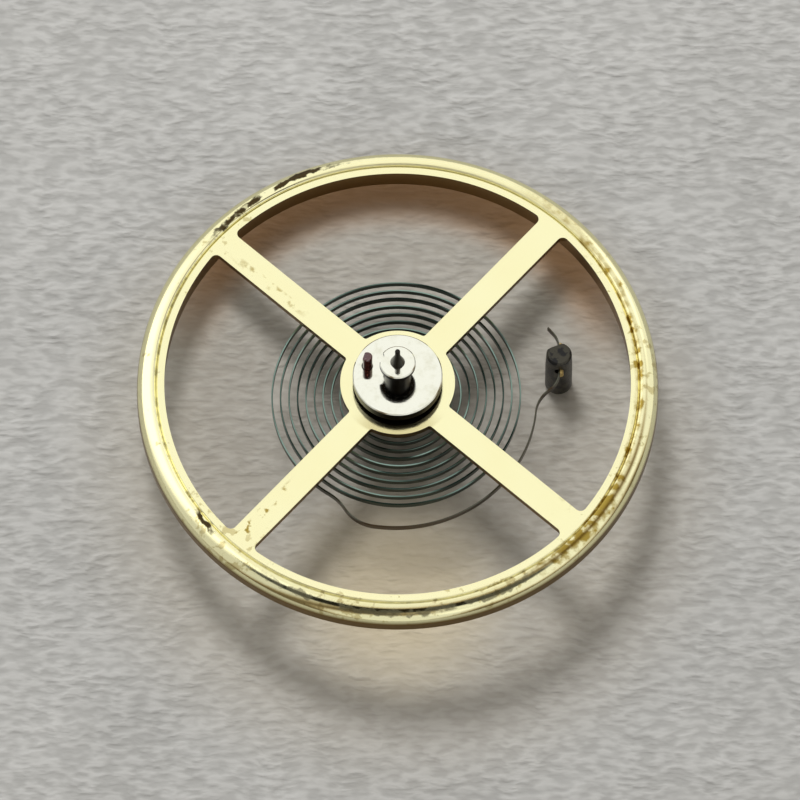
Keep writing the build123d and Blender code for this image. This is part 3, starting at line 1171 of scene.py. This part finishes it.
# %% Paper
paper_lean_deg = 9.5
paper_uphill_deg = 101.3    # azimuth of the side where the paper comes up to the wheel
paper_side = 700.0
paper_thickness = 1.0
warm_middle_y = -0.9        # middle of the weak warmth round the whole wheel
near_window_y = -3.4        # middle of the brightest place, inside the near window


def from_point(x, y, point_y):
    """How far a point of the paper lies from one that is nearer to the camera than the axis."""
    return (x * x + (y - point_y) * (y - point_y)) ** 0.5


def warmed(paper, colour, place):
    """The paper's colour with the gilt's warm light painted in, and painted brown shade under the
    far rim.
    """
    x, y, radius = paper.around(place)
    under = 1.0 - paper.rise(from_point(x, y, warm_middle_y), 4.2, 7.0)
    near_window = 1.0 - paper.rise(from_point(x, y, near_window_y), 0.6, 2.6)
    # Painted shade: a brown band on the paper under the far side of the rim.
    far_rim_shade = paper.rise(radius, 3.6, 4.5) * (1.0 - paper.rise(radius, 4.7, 5.1))
    far_rim_shade = far_rim_shade * paper.rise(y / radius, 0.2, 0.7)
    colour = paper.mix(under * 0.4, colour, rgb(162, 151, 131))
    colour = paper.mix(near_window * 0.6, colour, rgb(202, 187, 154))
    return paper.mix(far_rim_shade * 0.85, colour, rgb(150, 110, 66))


def pale_paper():
    paper = new_finish("pale_paper")
    place = paper.place()
    wave = paper.noise(place, 0.8, detail=1.0)
    swept = place + wave * 0.15
    fibre = paper.noise(swept, 0.13, detail=1.5, rough=0.4, stretch=(2.4, 1.0, 1.0))
    marked = paper.rise(wave, 0.25, 0.75) * 0.7 + 0.3
    felt = paper.noise(place, 0.4, detail=2.0, stretch=(1.6, 1.0, 1.0))
    cloud = paper.noise(place, 2.5, detail=2.0)
    tone = paper.rise(fibre, 0.35, 0.65) * 0.4 + felt * 0.25 + cloud * 0.35
    colour = paper.mix(tone, rgb(143, 142, 138), rgb(182, 181, 177))
    return paper.surface({"Base Color": warmed(paper, colour, place), "Roughness": 0.85,
                          "Normal": paper.bump(fibre * marked + felt * 0.4, 0.075)})


half_side = paper_side / 2
sheet = prism([(-half_side, -half_side), (half_side, -half_side), (half_side, half_side),
               (-half_side, half_side)], -paper_thickness, 0.0)
floor = shaped("floor", moved(sheet, turn(paper_uphill_deg), turn(-paper_lean_deg, "Y"),
                              turn(-paper_uphill_deg)))
floor.data.materials.append(pale_paper())
print("the paper leans by", paper_lean_deg, "degrees")

# %% [markdown]
# ## Light
# One soft lamp casts the shadow. It isn't seen in the metal, because metal mirrors a lamp as a
# hard white disc. What the metal mirrors is the room. That could be a picture of a real room. A
# few soft patches of light do the same and need no file: the whole room can be read in a table.

# %% Lamp
lamp_far = 150.0
lamp_wide = 40.0
lamp_colour = (0.97, 0.98, 1.0)
lamp_azimuth_deg = 111
lamp_height_deg = 66
lamp_share = 0.58           # of the light that shows white paper at its plain brightness


def toward(azimuth_deg, height_deg):
    """The direction at an azimuth from +X and a height above the table."""
    flat, level = math.radians(azimuth_deg), math.radians(height_deg)
    return Vector((math.cos(level) * math.cos(flat), math.cos(level) * math.sin(flat),
                   math.sin(level)))


lamp_side = toward(lamp_azimuth_deg, lamp_height_deg)
light = bpy.data.lights.new("lamp", "AREA")
light.shape = "DISK"
light.size = lamp_wide * mm
light.color = lamp_colour
light.energy = lamp_share * (math.pi * lamp_far * mm) ** 2 / lamp_side.z
lamp = bpy.data.objects.new("lamp", light)
lamp.location = (Vector((0, 0, plate_top)) + lamp_side * lamp_far) * mm
lamp.rotation_mode = "QUATERNION"
lamp.rotation_quaternion = lamp_side.to_track_quat("Z", "Y")
lamp.visible_glossy = False
bpy.context.scene.collection.objects.link(lamp)
print("the lamp looks", round(2 * math.degrees(math.atan(lamp_wide / 2 / lamp_far))), "degrees wide")

# %% [markdown]
# ## Room
# The flat tops mirror a wide window high up behind the wheel, and that makes them pale gold. The
# bead, being round, mirrors everything: the walls on its left and right, and a low window and
# the dark place above the camera on its near side. Each patch is full within one angle from its
# middle and gone at another. The three dark ones are narrow, or the wheel looks black from above.

# %% Room
room_level = 0.12
dark_level = 0.015
dark_full_deg, dark_gone_deg = 8, 17
Patch = namedtuple("Patch", "azimuth_deg height_deg full_deg gone_deg strength")
lit = [
    Patch(115, 35, 38, 66, 0.86),   # the high window, behind
    Patch(180, 36, 36, 54, 0.5),    # the left wall
    Patch(32, 22, 16, 34, 0.75),    # the right wall, behind
    Patch(-35, 36, 22, 44, 0.75),   # the right wall, in front
    Patch(-90, 12, 16, 30, 0.62),   # the low window, in front
]
dark = [toward(-90, 72), toward(-46, 66), toward(-134, 66)]
room = Finish(bpy.data.worlds.new("room"))
bpy.context.scene.world = room.owner
looking = room.node("ShaderNodeTexCoord", {}, {}, "Generated")


def glow(middle, full_deg, gone_deg):
    """1 within an angle of a direction, 0 beyond another, and soft between them."""
    close = room.node("ShaderNodeVectorMath", {"operation": "DOT_PRODUCT"},
                      {0: looking, 1: tuple(middle)}, "Value")
    return room.rise(close, math.cos(math.radians(gone_deg)), math.cos(math.radians(full_deg)))


glows = [glow(toward(p.azimuth_deg, p.height_deg), p.full_deg, p.gone_deg) for p in lit]
level = sum(shine * patch.strength for shine, patch in zip(glows, lit)) + room_level
shade = sum(glow(middle, dark_full_deg, dark_gone_deg) for middle in dark)
level = level * (1.0 - room.rise(shade, 0.0, 1.0)) + dark_level
white = room.rise(sum(glows), 0.0, 1.0)
tint = room.mix(white, rgb(255, 228, 186), rgb(255, 255, 255))
air = room.node("ShaderNodeBackground", {}, {"Color": tint, "Strength": level})
room.node("ShaderNodeOutputWorld", {}, {"Surface": air})
bpy.context.scene.view_settings.view_transform = "Standard"
print("the room has", len(lit), "patches of light and", len(dark), "dark ones")

# %% [markdown]
# ## The end
